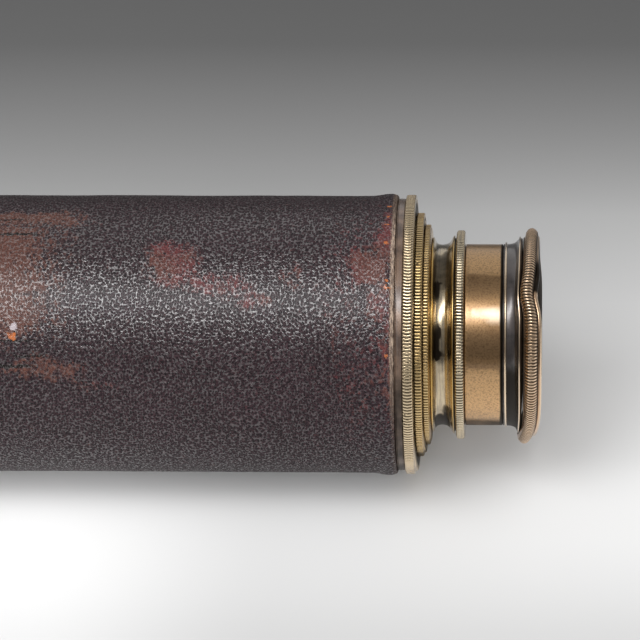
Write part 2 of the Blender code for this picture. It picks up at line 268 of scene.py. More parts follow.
class Tree:
    """Short-hand for building the node tree of a material, a world or a lamp."""

    def __init__(self, owner):
        owner.use_nodes = True
        self.owner = owner
        self.tree = owner.node_tree

    def node(self, kind, **settings):
        made = self.tree.nodes.new("ShaderNode" + kind)
        for key, value in settings.items():
            setattr(made, key, value)
        return made

    def plug(self, target, value):
        if isinstance(value, bpy.types.NodeSocket):
            self.tree.links.new(value, target)
        elif target.type == "RGBA":
            target.default_value = (*value, 1)
        else:
            target.default_value = value

    def fill(self, made, **values):
        for key, value in values.items():
            self.plug(made.inputs[key.replace("_", " ")], value)
        return made

    def uv(self):
        return self.node("UVMap", uv_map="unrolled").outputs["UV"]

    def place(self):
        return self.node("TexCoord").outputs["Object"]

    def split(self, vector):
        made = self.node("SeparateXYZ")
        self.plug(made.inputs[0], vector)
        return made.outputs

    def scaled(self, vector, along, around):
        return self.fill(self.node("Mapping"), Vector=vector, Scale=(along, around, 1)).outputs[0]

    def math(self, operation, a, b=0, clamp=False):
        made = self.node("Math", operation=operation, use_clamp=clamp)
        for socket, value in zip(made.inputs, (a, b)):
            self.plug(socket, value)
        return made.outputs[0]

    def times(self, a, b):
        return self.math("MULTIPLY", a, b)

    def plus(self, a, b):
        return self.math("ADD", a, b)

    def minus(self, a, b):
        return self.math("SUBTRACT", a, b)

    def swing(self, noise, amount):
        """A noise moved to lie about zero, times an amount."""
        return self.times(self.minus(noise, 0.5), amount)

    def vector(self, operation, *values):
        made = self.node("VectorMath", operation=operation)
        for socket, value in zip(made.inputs, values):
            self.plug(socket, value)
        return made.outputs["Value" if operation == "LENGTH" else "Vector"]

    def noise(self, vector, scale, detail, rough, dims="3D", output="Fac"):
        made = self.node("TexNoise", noise_dimensions=dims)
        self.fill(made, Vector=vector, Scale=scale, Detail=detail, Roughness=rough)
        return made.outputs[output]

    def flat_noise(self, vector, scale, detail, rough, output="Fac"):
        return self.noise(vector, scale, detail, rough, "2D", output)

    def ramp(self, value, stops, interpolation="LINEAR"):
        """Ramp through (position, grey) stops."""
        made = self.fill(self.node("ValToRGB"), Fac=value)
        made.color_ramp.interpolation = interpolation
        elements = made.color_ramp.elements
        while len(elements) < len(stops):
            elements.new(0.5)
        for element, (position, grey) in zip(elements, stops):
            element.position = position
            element.color = (grey, grey, grey, 1)
        return made.outputs["Color"]

    def span(self, value, low, high, to_low=0, to_high=1, kind="SMOOTHSTEP"):
        made = self.fill(self.node("MapRange", interpolation_type=kind), Value=value)
        for socket, limit in zip(made.inputs[1:5], (low, high, to_low, to_high)):
            socket.default_value = limit
        return made.outputs["Result"]

    def mix(self, factor, a, b):
        made = self.node("Mix", data_type="RGBA")
        for k, value in ((0, factor), (6, a), (7, b)):
            self.plug(made.inputs[k], value)
        return made.outputs[2]

    def attribute(self, name):
        return self.node("Attribute", attribute_name=name).outputs["Fac"]

    def bump(self, height, distance):
        return self.fill(self.node("Bump"), Height=height, Distance=distance).outputs[0]

    def finish(self, **values):
        self.fill(self.tree.nodes["Principled BSDF"], **values)
        return self.owner


def new_material(name):
    return Tree(bpy.data.materials.new(name))


LEATHER_RADIUS = 29.0
PAINTED_GLINT_SPOT = (-79.2, 3, 0.95)  # station, angle and radius of a painted highlight: a pale spot standing for a glint
SPOTS = (  # station, angle above the view, radius: orange spots where the finish is gone
    (-3.3, 64.2, 0.6),
    (-3.5, 40, 0.62),
    (-3.4, 22.3, 0.5),
    (-3.3, 19.3, 0.5),
    (-3.4, 56.3, 0.32),
    (-3.5, 50.8, 0.32),
    (-3.3, -8, 0.35),
    (-79.5, -1, 0.9),
    (-160, 48, 0.6),
    (-190, -60, 0.7),
)
TEARS = (  # station, angle, half length, half width: dark cracks along the barrel
    (-81.5, 54.2, 4.6, 0.26),
    (-80, 44.7, 7.2, 0.34),
    (-79, -2.6, 6.8, 0.22),
    (-80, -12.9, 6.8, 0.42),
    (-76, -9, 4, 0.22),
    (-141, 20, 9, 0.3),
    (-150, -120, 8, 0.3),
)


def leather_place(angle):
    """Second unrolled coordinate of an angle above the view."""
    return (FACING - math.radians(angle) + 2 * math.pi) * LEATHER_RADIUS


def leather_material():
    t = new_material("leather_grained")
    uv = t.uv()
    wear, edge, polish_and_light = t.attribute("wear"), t.attribute("edge"), t.attribute("polish_and_light")

    def pushed(start, scale, detail, amount):
        """The place moved about by a noise, so the grain doesn't lie in rows."""
        push = t.flat_noise(uv, scale, detail, 0.5, "Color")
        return t.vector("MULTIPLY_ADD", push, (amount, amount, 0), start)

    grain_place = t.scaled(pushed(pushed(uv, 0.06, 1.5, 4), 0.8, 1, 0.28), 1.9, 1.5)
    cells = t.node("TexVoronoi", voronoi_dimensions="2D", feature="F1")
    t.fill(cells, Vector=grain_place, Scale=1, Randomness=0.8)
    tone = t.fill(t.node("SeparateColor"), Color=cells.outputs["Color"]).outputs
    crest = t.span(t.flat_noise(uv, 1.1, 3, 0.65), 0.32, 0.68, 0.25, 1.25)
    raised = t.times(t.span(cells.outputs["Distance"], 0.1, 0.68), crest)
    fine = t.flat_noise(uv, 4.5, 3, 0.65)
    broad = t.flat_noise(uv, 0.11, 4, 0.62)

    rag = t.vector("SUBTRACT", t.flat_noise(uv, 0.55, 4, 0.7, "Color"), (0.5, 0.5, 0.5))
    ragged = t.vector("MULTIPLY_ADD", rag, (2.2, 2.2, 0), uv)

    def near(station, angle, radius, half_length=None):
        """1 inside a spot or along a crack, with an uneven border."""
        offset = t.vector("SUBTRACT", ragged, (station, leather_place(angle), 0))
        if half_length:
            offset = t.vector("MULTIPLY", offset, (1 / half_length, 1 / radius, 0))
            radius = 1.0
        return t.span(t.vector("LENGTH", offset), 0.55 * radius, radius, 1, 0)

    spots = tears = 0.0
    for spot in SPOTS:
        spots = t.math("MAXIMUM", spots, near(*spot))
    for station, angle, half_length, half_width in TEARS:
        tears = t.math("MAXIMUM", tears, near(station, angle, half_width, half_length))

    dark = t.mix(t.span(broad, 0.3, 0.7), DARK_LEATHER, DARK_LEATHER_2)
    dark = t.mix(t.times(tone[0], 0.35), dark, GRAIN_TONE)
    uneven = t.swing(t.flat_noise(uv, 0.42, 4, 0.7), 1.1)
    worn = t.span(t.plus(t.plus(wear, t.swing(tone[1], 0.6)), uneven), 0.22, 0.98)
    hue = t.flat_noise(uv, 0.1, 3, 0.6)
    near_rings = t.span(t.split(uv)[0], -68, -58, 0.9, 0)
    browner = t.math("MAXIMUM", near_rings, t.span(hue, 0.42, 0.66, 0, 0.7))
    colour = t.mix(worn, dark, t.mix(browner, WORN_RED, WORN_BROWN))
    pit = t.math("SUBTRACT", 1, raised, clamp=True)
    pores_and_pit_shade = t.span(t.flat_noise(t.scaled(uv, 1, 1.25), 1.9, 3, 0.7), 0.4, 0.6, 1, 0)
    # painted shade: a quarter of this darkening follows the pits of the grain, as shade in the
    # hollows
    pores_and_pit_shade = t.plus(t.times(pores_and_pit_shade, 0.75), t.times(pit, 0.25))
    colour = t.mix(t.times(pores_and_pit_shade, t.span(worn, 0, 1, 0.95, 0.55)), colour, PORE_AND_PIT_SHADE)
    colour = t.mix(t.times(worn, t.span(fine, 0.5, 0.75, 0, 0.45)), colour, RUBBED_PORE)
    frayed = t.span(t.plus(edge, t.swing(fine, 1.8)), 0.35, 0.85)
    fibres = t.flat_noise(t.scaled(uv, 3.4, 0.55), 1, 4, 0.7)
    ends = t.mix(t.span(fibres, 0.38, 0.64), FIBRE_SHADE, FIBRE)
    # painted shade: on the underside the frayed fibres take the darker colour
    colour = t.mix(frayed, colour, t.mix(polish_and_light, FIBRE_SHADED_BELOW, ends))
    colour = t.mix(spots, colour, SPOT_ORANGE)
    # painted highlight: a small pale spot stands for a glint on the leather
    colour = t.mix(near(*PAINTED_GLINT_SPOT), colour, PAINTED_GLINT_PALE)
    colour = t.mix(tears, colour, TEAR_BLACK)
    height = t.times(raised, t.span(worn, 0, 1, 1, 0.55))
    height = t.plus(height, t.times(fine, t.span(worn, 0, 1, 0.42, 0.8)))
    height = t.minus(height, t.times(spots, 0.4))
    height = t.minus(height, t.times(tears, 1.6))
    rough = t.plus(0.22, t.times(pit, 0.25))
    rough = t.plus(rough, t.times(t.span(broad, 0.3, 0.7), 0.08))
    rough = t.plus(rough, t.times(frayed, 0.25))
    shine = t.times(t.span(raised, 0.26, 0.9, 0.12, 1), t.span(frayed, 0, 1, 1, 0.3))
    # painted shade: less coat on the underside, through the polish weight
    shine = t.times(t.times(shine, t.span(worn, 0, 1, 1, 0.75)), polish_and_light)
    return t.finish(
        Base_Color=colour, Roughness=rough, Normal=t.bump(height, 0.00014),
        Specular_IOR_Level=t.span(raised, 0, 1, 0.05, 0.3),
        Coat_Weight=shine, Coat_Roughness=0.27, Coat_IOR=2.75, Coat_Normal=t.bump(height, 0.00005),
    )


def brass_material(
    name, metal, patina, rough=0.25, rough_spread=0.1, patina_share=0.4, lines=0.35, grain=0,
    coat=0.3, bare_and_highlight=(0.66, 0.46, 0.22), metallic=1, streaks=0, gold=None, coat_rough=0.2,
    polished=0,
):
    """Aged brass: patina in clouds, dirt in the recesses, painted shade and highlights where asked,
    fine turning lines round the axis.
    """
    t = new_material(name)
    place = t.place()
    uv = t.uv()
    clouds = t.noise(place, 150, 5, 0.62)
    specks = t.noise(place, 1700, 3, 0.65)
    cover = t.span(clouds, 0.66 - 0.5 * patina_share, 0.82 - 0.35 * patina_share)
    colour = t.mix(cover, metal, patina)
    if streaks:
        bands = t.flat_noise(t.scaled(uv, 2.6, 0.11), 1, 4, 0.65)
        colour = t.mix(t.times(t.span(bands, 0.48, 0.66), streaks), colour, STREAK)
    if gold:
        colour = t.mix(t.attribute("gold"), colour, gold)
    if grain:
        dots = t.span(t.noise(place, 2600, 2, 0.7), 0.42, 0.7)
        colour = t.mix(t.times(dots, 0.55), colour, tuple(0.45 * c for c in patina))
    fly_specks = t.times(t.span(specks, 0.6, 0.74), 0.6)
    colour = t.mix(fly_specks, colour, tuple(0.4 * c for c in patina))
    shine = t.span(t.plus(t.attribute("bare_and_highlight"), t.swing(clouds, 0.8)), 0.35, 0.65)
    colour = t.mix(shine, colour, bare_and_highlight)
    soil_and_shade = t.math("ADD", t.attribute("soil_and_shade"), t.swing(clouds, 0.5), clamp=True)
    # the soil weight brings real dirt and painted shade alike to the grime colour
    grime_and_shade = t.span(soil_and_shade, 0.25, 0.85)
    colour = t.mix(grime_and_shade, colour, GRIME_AND_SHADE)
    turned = t.flat_noise(t.scaled(uv, 7, 0.02), 1, 3, 0.7)
    scratches = t.flat_noise(t.scaled(uv, 0.5, 3.5), 1, 2, 0.6)
    level = t.plus(rough - rough_spread / 2, t.times(clouds, rough_spread))
    level = t.plus(level, t.times(grime_and_shade, 0.3))
    level = t.plus(level, t.times(t.span(scratches, 0.6, 0.75), 0.06))
    if polished:
        level = t.minus(level, t.times(shine, polished))
    height = t.times(turned, lines)
    if grain:
        height = t.plus(height, t.times(t.noise(place, 3300, 2, 0.6), grain))
    return t.finish(
        Base_Color=colour, Roughness=level, Normal=t.bump(height, 0.00002), Metallic=metallic,
        Coat_Weight=t.span(grime_and_shade, 0, 1, coat, 0.2 * coat) if coat else 0,
        Coat_Roughness=coat_rough, Coat_IOR=1.9,
    )


def glass_material(name):
    t = new_material(name)
    smear = t.noise(t.place(), 220, 4, 0.6)
    rough = t.span(smear, 0.45, 0.8, 0, 0.05)
    return t.finish(
        Base_Color=(0.93, 0.97, 0.95), Roughness=rough, Transmission_Weight=1, IOR=1.52
    )


def thread_material():
    t = new_material("waxed_thread")
    place = t.place()
    fibres = t.noise(place, 2600, 3, 0.7)
    age = t.noise(place, 90, 3, 0.6)
    colour = t.mix(t.span(age, 0.35, 0.7), (0.06, 0.04, 0.026), (0.135, 0.092, 0.055))
    colour = t.mix(t.span(fibres, 0.5, 0.75), colour, (0.03, 0.02, 0.014))
    rough = t.plus(0.55, t.times(fibres, 0.3))
    return t.finish(Base_Color=colour, Roughness=rough, Normal=t.bump(fibres, 0.00008))


MAT = {
    "leather": leather_material(),
    "ring": brass_material(
        "brass_rings", (0.76, 0.585, 0.355), (0.56, 0.4, 0.23), 0.23, 0.08, 0.2, coat=0.5,
        bare_and_highlight=(0.88, 0.71, 0.47),
    ),
    "ring_gold": brass_material(
        "brass_rings_gold", (0.7, 0.47, 0.18), (0.46, 0.27, 0.085), 0.25, 0.08, 0.3, coat=0.45,
        bare_and_highlight=(0.82, 0.62, 0.32),
    ),
    "waist": brass_material(
        "brass_polished", (0.66, 0.54, 0.36), (0.48, 0.39, 0.25), 0.13, 0.05, 0.3, 0.9, coat=0.5,
        bare_and_highlight=(0.88, 0.74, 0.5), streaks=0.6, gold=(0.66, 0.45, 0.14),
    ),
    "collar": brass_material(
        "brass_dull", (0.23, 0.15, 0.105), (0.085, 0.054, 0.04), 0.28, 0.1, 0.5, 0.6,
        coat=0.6, bare_and_highlight=(0.3, 0.2, 0.12), metallic=0.5, streaks=0.35,
    ),
    # The sleeve's gold colour paints reflections and its bare colour a highlight; see make_sleeve.
    "sleeve": brass_material(
        "brass_satin", (0.45, 0.265, 0.12), (0.36, 0.205, 0.09), 0.3, 0.05, 0.4, 0.15, 0.8,
        coat=0.42, bare_and_highlight=(0.55, 0.42, 0.29), gold=(0.68, 0.41, 0.185), coat_rough=0.15,
    ),
    "dark": brass_material(
        "brass_oxidised", (0.105, 0.082, 0.076), (0.05, 0.04, 0.038), 0.35, 0.1, 0.5, 0.5,
        coat=1, bare_and_highlight=(0.92, 0.72, 0.5), polished=0.2,
    ),
    "copper": brass_material(
        "brass_coppery", (0.68, 0.45, 0.27), (0.46, 0.27, 0.15), 0.22, 0.08, 0.3, coat=0.6,
        bare_and_highlight=(0.9, 0.68, 0.46),
    ),
    "draw": brass_material("brass_drawn", (0.6, 0.41, 0.19), (0.42, 0.27, 0.12), 0.24, 0.08, 0.35),
    "black": brass_material(
        "brass_blackened", (0.03, 0.028, 0.025), (0.06, 0.045, 0.03), 0.6, coat=0.0
    ),
    "glass": glass_material("lens_glass"),
    "thread": thread_material(),
}


# ---- leather


LEATHER_STEP = 0.7
LEATHER_COLUMNS = 288
PATCHES = (  # station, half length, angle above the view, half angle, strength, squareness
    (-92, 22, 24, 27, 1.05, 6),
    (-80.5, 15, 53, 6.5, 0.95, 3),
    (-47, 5.6, 30.5, 9.5, 0.85, 3),
    (-38, 8, 20, 5.5, 0.65, 2),
    (-31, 5, 15, 3.5, 0.6, 2),
    (-23.3, 3.4, 25, 5, 0.5, 2),
    (-6.4, 4.6, 29, 9.5, 1.05, 3),
    (-3.4, 2.6, 45, 15, 0.95, 2),
    (-8, 9, 8, 60, 0.3, 2),
    (-4.4, 3.2, 14, 9, 0.75, 2),
    (-2.6, 1.8, -12, 34, 0.6, 2),
    (-74, 9.5, -15, 4.5, 0.62, 2),
    (-63, 6, -20.5, 2.6, 0.4, 2),
    (-150, 14, 60, 22, 0.9, 3),
    (-190, 12, -60, 30, 0.8, 3),
    (-205, 6, 30, 60, 0.7, 3),
    (-120, 16, 165, 18, 0.8, 3),
    (-40, 22, -140, 16, 0.7, 3),
)


def leather_patches(u, turn):
    """How far the dark finish is worn away, 0 to 1, over the cover."""
    a = above_view(turn) + 5.0 * ring_noise(u, turn, 7, 24, 11)
    along = u + 2.2 * ring_noise(u, turn, 6, 20, 23)
    worn = np.zeros_like(a)
    for station, half_length, angle, half_angle, strength, power in PATCHES:
        gap = ((a - angle + 180) % 360) - 180
        aside = np.abs((along - station) / half_length) ** power
        distance = (aside + np.abs(gap / half_angle) ** power) ** (1 / power)
        worn = np.maximum(worn, strength * (1 - smooth_step(distance, 0.5, 1.35)))
    return worn


def leather_warp(u, r, turn):
    """Lumps, the lifted edge by the rings, and the lapped seam with its sewn groove."""
    outside = smooth_step(r, 28, 28.6)
    lumps = 0.09 * ring_noise(u, turn, 14, 14, 3) + 0.03 * ring_noise(u, turn, 3.2, 60, 5)
    worn = leather_patches(u, turn)
    lift = 0.42 * smooth_step(u, -7, -3.4) - 0.25 * smooth_step(u, -2.9, -1.9)
    behind = above_view(turn) % 360 - 180
    lap = 0.28 * between(behind, -7, -6.2, 5, 9)
    groove = 0.22 * bump_at(behind, -4.2, 0.9)
    moved = r + outside * (lumps - 0.05 * worn + lift + lap - groove)
    edge = smooth_step(u, -2.95, -2.45) + smooth_step(-u, 211.2, 211.6)
    # painted shade: the pale frayed edge fades out on the underside
    edge = edge * (0.45 + 0.55 * smooth_step(above_view(turn), -48, -20))
    a = above_view(turn) + 8 * ring_noise(u, turn, 20, 8, 7)
    # the polish weight also paints light: it is high on the sides turned up to the light and the
    # camera and low underneath, where it takes the coat away and darkens the frayed fibres as
    # painted shade
    handled_and_lit = between(a, -34, 4, 40, 66) + 0.6 * bump_at(np.abs(a), 130, 25)
    return u, moved, {"wear": worn, "edge": edge, "polish_and_light": 0.3 + 0.7 * handled_and_lit}


def make_leather():
    points = [(-212.1, 27.85), (-212.1, 28.98, 0.45), (-1.72, 28.98, 0.75), (-1.72, 27.9, 0.1)]
    profile = subdivided(rounded(points, 4), LEATHER_STEP)
    inner = profile[:, 1] < 27.95
    keep = ~inner | (np.arange(len(profile)) % 12 == 0)
    body = revolve("leather_cover_worn", profile[keep], LEATHER_COLUMNS, leather_warp, SEAM)
    install(body, "leather", "leather_cover", "barrel", "leather")


def capsules(name, ends, thickness, sides=8):
    """One mesh of short rounded rods between pairs of points, in metres."""
    points, faces = [], []
    rings = (
        (-1, 0.25), (-0.92, 0.7), (-0.7, 1), (0, 1.1), (0.7, 1), (0.92, 0.7), (1, 0.25)
    )
    lift = 0.0002
    for a, b, out in ends:
        axis = (b - a).normalized()
        side = axis.cross(out).normalized()
        faces += stacked_faces(len(rings), sides, len(points))
        half, middle = (b - a).length / 2, (a + b) / 2
        for along, fat in rings:
            lifted = middle + axis * (half * along) + out * (lift * (1 - along * along))
            for turn in (2 * math.pi * k / sides for k in range(sides)):
                around = side * math.cos(turn) + out * math.sin(turn)
                points.append(lifted + around * (thickness / 2 * fat))
    return mesh_of(
        name, points, faces, lambda build: bmesh.ops.recalc_face_normals(build, faces=build.faces)
    )


def make_stitches():
    """Thread along the lapped seam on the side away from the camera."""

    def point(u, behind, radius):
        turn = FACING - math.radians(180 + behind)
        return Vector(at(u, -radius * math.sin(turn), radius * math.cos(turn)))

    first, reach, count, half = -208.5, 202.5, 64, 0.95
    ends = []
    for k in range(count):
        u = first + reach * k / (count - 1)
        a, b = point(u - half, -4.9, 29), point(u + half, -3.5, 29.05)
        out = Vector((0, (a.y + b.y) / 2 - AXIS_Y, (a.z + b.z) / 2 - AXIS_Z)).normalized()
        ends.append((a, b, out))
    body = capsules("leather_stitches", ends, 0.00055)
    body.data.materials.append(MAT["thread"])
    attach(body, "barrel")


# ---- milled rings


RIDGE_SAMPLES = 6


def crown(low, high, top, drop, parts=6, power=2.4):
    """Points of a rim that is rounded across its width."""
    out = []
    for k in range(parts + 1):
        t = math.sin(math.pi / 2 * (2 * k / parts - 1))
        out.append((low + (high - low) * (t + 1) / 2, top - drop * abs(t) ** power))
    return out


def milling(count, rims, depth, wear_seed, smooth_at=(), sweep=0):
    """Warp that cuts straight ridges into the rows on the rims: (low u, high u, lowest radius).

    smooth_at holds (angle, half angle, share) where use has worn the ridges away; sweep bends each
    ridge downward in the middle of its rim, as a share of the pitch.
    """

    def warp(u, r, turn):
        on_rim = np.zeros_like(r)
        lag = np.zeros_like(r)
        for low, high, floor in rims:
            lag = lag + sweep * np.clip(1 - np.abs(2 * (u - low) / (high - low) - 1), 0, 1)
            inside = between(u, low - 0.02, low + 0.08, high - 0.08, high + 0.02)
            on_rim = np.maximum(on_rim, inside * (r > floor))
        a = above_view(turn)
        for angle, half_angle, share in smooth_at:
            gap = np.abs(((a - angle + 180) % 360) - 180)
            smooth = 1 - smooth_step(gap, 0.7 * half_angle, 1.2 * half_angle)
            on_rim = on_rim * (1 - share * smooth)
        phase = (turn / (2 * math.pi) * count - lag) % 1.0
        t = np.abs(2 * phase - 1)
        rub = np.clip(0.5 + 0.9 * ring_noise(u * 0, turn, 1, 9, wear_seed, 2), 0, 1)
        chipped = np.clip(ring_noise(u * 0.4, turn, 1, 60, wear_seed + 5, 2) - 0.35, 0, 1)
        cut = depth * (0.8 + 0.2 * rub) * t**4.8 + 0.1 * chipped
        soil_and_shade = 1.1 * on_rim * smooth_step(t, 0.48, 0.92)
        bare_and_highlight = 0.65 * on_rim * (1 - smooth_step(t, 0.1, 0.6))
        return u, r - on_rim * cut, {"soil_and_shade": soil_and_shade, "bare_and_highlight": bare_and_highlight}

    return warp


def soiled(spots, nicks=()):
    """Dirt along circles (station, radius, reach) and nicks (station, angle, size, depth)."""

    def extra(u, r, turn):
        soil_and_shade = np.zeros_like(r)
        for station, radius, reach in spots:
            near = np.exp(-((u - station) ** 2 + (r - radius) ** 2) / reach**2)
            soil_and_shade = np.maximum(soil_and_shade, near)
        a = above_view(turn)
        for station, angle, size, depth in nicks:
            around = (a - angle) * math.pi / 180 * r
            here = np.exp(-(((u - station) / size) ** 2) - (around / size) ** 2)
            soil_and_shade = np.maximum(soil_and_shade, here)
            r = r - depth * here * (r > 20)
        return u, r, soil_and_shade

    return extra


def bottom_share(turn):
    """1 on the side of the rings turned to the floor and the camera, 0 elsewhere."""
    return between(-above_view(turn), 45, 85, 130, 165)


def underside_shade(turn):
    """Painted shade on the underside of a ring, standing for the shadowed floor that it mirrors."""
    return 0.7 * between(-above_view(turn), 66, 80, 110, 130)


def make_ring(
    name, node, ride_on, material, ridges, rims, outline, depth, seed, extra, smooth_at=(),
    gold=None, sweep=0, corner_steps=3, samples=RIDGE_SAMPLES,
):
    mill = milling(ridges, rims, depth, seed, smooth_at, sweep)

    def warp(u, r, turn):
        u, r, found = mill(u, r, turn)
        u, r, more = extra(u, r, turn)
        found["soil_and_shade"] = np.maximum(found["soil_and_shade"], more)
        found["gold"] = gold(u, r) if gold else np.zeros_like(r)
        return u, r, found

    body = revolve(name, rounded(outline, corner_steps), ridges * samples, warp)
    install(body, material, node, ride_on, "brass_polished")


def bush_wear_and_shade(dirt, low=True, bulge=None):
    """Dirt of a bush, painted shade on its underside when low is set, and its face proud low down:
    (amount, station span, radius spans).
    """

    def extra(u, r, turn):
        u, r, soil_and_shade = dirt(u, r, turn)
        if low:
            soil_and_shade = np.maximum(soil_and_shade, underside_shade(turn) + 0 * r)
        if bulge:
            amount, stations, radii = bulge
            u = u + amount * smooth_step(u, *stations) * between(r, *radii) * bottom_share(turn)
        return u, r, soil_and_shade

    return extra


def make_rings():
    outline = (
        [(-32, 24.15), (-32, 25.2), (-14, 25.2), (-14, 26.15), (0, 26.15),
         (0, 28.65, 0.05)]
        + crown(0, 2.02, 29.2, 0.3, 12, 11)
        + [(2.02, 28.5, 0.1), (2.06, 27.2, 0.3), (2.06, 25.9, 0.1), (1.95, 25.5, 0.05),
           (1.95, 24.15, 0.05)]
    )
    dirt = soiled(
        [(2.05, 28, 0.42), (2.05, 27, 0.8), (2, 25.6, 0.8)],
        [(0.45, -34, 0.22, 0.22), (0.95, -36.5, 0.2, 0.2), (0.35, -38.5, 0.15, 0.15),
         (1.2, -39.5, 0.16, 0.15), (0.8, -72, 0.2, 0.22), (1.15, -77, 0.18, 0.2),
         (0.7, 118, 0.2, 0.2), (0.9, 175, 0.25, 0.2)],
    )
    make_ring(
        "barrel_bush_milled", "barrel_bush", "barrel", "ring", 258,
        [(0, 1.99, 28.6)], outline, 0.24, 31,
        bush_wear_and_shade(dirt, False, (0.6, (1.99, 2.03), (25.6, 26.2, 28.3, 28.8))),
        [(-84, 22, 0.7), (150, 30, 0.5)], sweep=0.3,
    )
    outline = (
        [(-26, 21.75), (-26, 22.6), (-8, 22.6), (-8, 23.25), (2.12, 23.25),
         (2.12, 24.9, 0.05)]
        + crown(2.13, 3.78, 25.44, 0.24, 12, 10)
        + [(3.79, 24.7, 0.08), (3.82, 23.9, 0.1), (3.8, 23.3, 0.1), (3.7, 23, 0.05),
           (3.7, 21.75, 0.05)]
    )
    dirt = soiled(
        [(3.8, 24.2, 0.5), (3.7, 22.8, 0.8)], [(2.7, 35, 0.15, 0.15), (2.9, -50, 0.2, 0.2)]
    )
    make_ring(
        "draw_1_bush_milled", "draw_1_bush", "draw_1", "ring_gold", 226,
        [(2.12, 3.78, 24.8)], outline, 0.25, 41,
        bush_wear_and_shade(dirt, bulge=(0.5, (3.74, 3.8), (23.05, 23.4, 24.5, 24.9))), sweep=0.12,
    )
    outline = (
        [(-22, 19.35), (-22, 20.1), (-6, 20.1), (-6, 20.85), (3.86, 20.85),
         (3.86, 22.5, 0.05)]
        + crown(3.87, 5.08, 23, 0.2, 10, 9)
        + [(5.1, 22.5, 0.05), (5.3, 22.2, 0.2), (5.36, 21.6, 0.15), (5.34, 20, 0.1),
           (5.34, 19.35, 0.08)]
    )
    dirt = soiled([(5.35, 19.6, 0.4)], [(4.3, 10, 0.15, 0.15), (4.5, 130, 0.2, 0.15)])
    make_ring(
        "draw_2_bush_milled", "draw_2_bush", "draw_2", "ring_gold", 206,
        [(3.86, 5.08, 22.4)], outline, 0.25, 51, bush_wear_and_shade(dirt),
    )


def make_waist():
    dirt = soiled(
        [(10.3, 20.15, 0.2), (12.3, 20.3, 0.3), (5.5, 19.3, 0.2)],
        [(11.3, -20, 0.15, 0.15), (11.6, 60, 0.2, 0.15)],
    )

    def waist_dirt_and_reflections(u, r, turn):
        u, r, soil_and_shade = dirt(u, r, turn)
        a = above_view(turn) + 6 * ring_noise(u, turn, 1.2, 30, 63)
        hollow = between(u, 5.9, 6.2, 9, 9.6) * (r > 18.6)
        ragged = 1.2 * ring_noise(u, turn, 0.7, 50, 67)
        ring_reflection_streak = between(a, -19, -15, 34, 44) * (1 - smooth_step(u + ragged, 7.3, 8.3))
        # painted reflections and shade: the hollow is darkened at the top, underneath, low on the
        # right, in a band just under the line of view and in a ragged streak on the left, where it
        # mirrors the rings and the shadowed floor
        painted_reflections = 0.7 * between(a, 24, 36, 60, 70)
        for share in (
            0.85 * between(-a, 54, 64, 110, 130),
            0.72 * smooth_step(-a, 46, 56) * smooth_step(u, 6.6, 8.4),
            0.9 * ring_reflection_streak * (1 - bump_at(a, 14, 8)),
            0.45 * between(a, -19, -16, 2, 7),
        ):
            painted_reflections = np.maximum(painted_reflections, share)
        return u, r, np.maximum(soil_and_shade, hollow * painted_reflections)

    def gold(u, r):
        """The gold shoulder before the hollow, and the bead after it."""
        shoulder = (r > 18.6) * (1 - smooth_step(u, 5.95, 6.15))
        return shoulder + bump_at(u, 9.85, 0.35) * (r > 19.6)

    outline = (
        [(-3, 17.95), (-3, 18.45), (5.44, 18.45), (5.44, 20.25, 0.1),
         (5.66, 20.38, 0.1), (5.9, 20.15, 0.12), (6.12, 19.45, 0.25), (6.6, 18.98, 0.4),
         (7.5, 18.8, 0.6), (8.6, 19.02, 0.6), (9.15, 19.45, 0.4), (9.55, 20.2, 0.15),
         (9.75, 20.55, 0.08), (9.95, 20.75, 0.08), (10.12, 20.72, 0.06), (10.16, 20.2, 0.04),
         (10.42, 20.15, 0.05), (10.46, 21, 0.04)]
        + crown(10.5, 12.26, 21.82, 0.42, 10, 6)
        + [(12.3, 21, 0.05), (12.3, 17.95, 0.05)]
    )
    make_ring(
        "eyepiece_collar_milled", "eyepiece_collar", "draw_3", "waist", 199,
        [(10.44, 12.31, 20.9)], outline, 0.24, 61, waist_dirt_and_reflections, gold=gold, corner_steps=2, samples=5,
    )


# ---- eyepiece end


def cap_bend(u, r, turn):
    """The knocked rim of the eye cap: one dent above the view, and a bent lower edge."""
    a = above_view(turn)
    sharp = np.where(a < 24, bump_at(a, 24, 9.5), bump_at(a, 24, 11))
    wide = np.where(a < 24, 0, bump_at(a, 24, 42))
    share = np.where(a < 24, 1, 0.55)
    dent = 0.98 * (share * sharp + (1 - share) * wide)
    from_low = ((a + 98 + 180) % 360) - 180
    low = bump_at(from_low, 0, 30)
    lip = smooth_step(u, 27.45, 27.85)
    outer = smooth_step(r, 17.6, 19.6) * smooth_step(u, 24.25, 24.75)
    du = -outer * (dent * (1 - 0.12 * lip) + 1.65 * low * (1 - 0.25 * lip))
    slot = bump_at(a, 31, 3.6) * smooth_step(u, 27.4, 27.7) * smooth_step(r, 19, 20.3)
    du = du - 0.45 * lip * outer * between(a, 36, 52, 120, 150)
    dr = outer * 0.5 * bump_at(from_low, 0, 22) - 0.35 * slot
    return u + du, r + dr


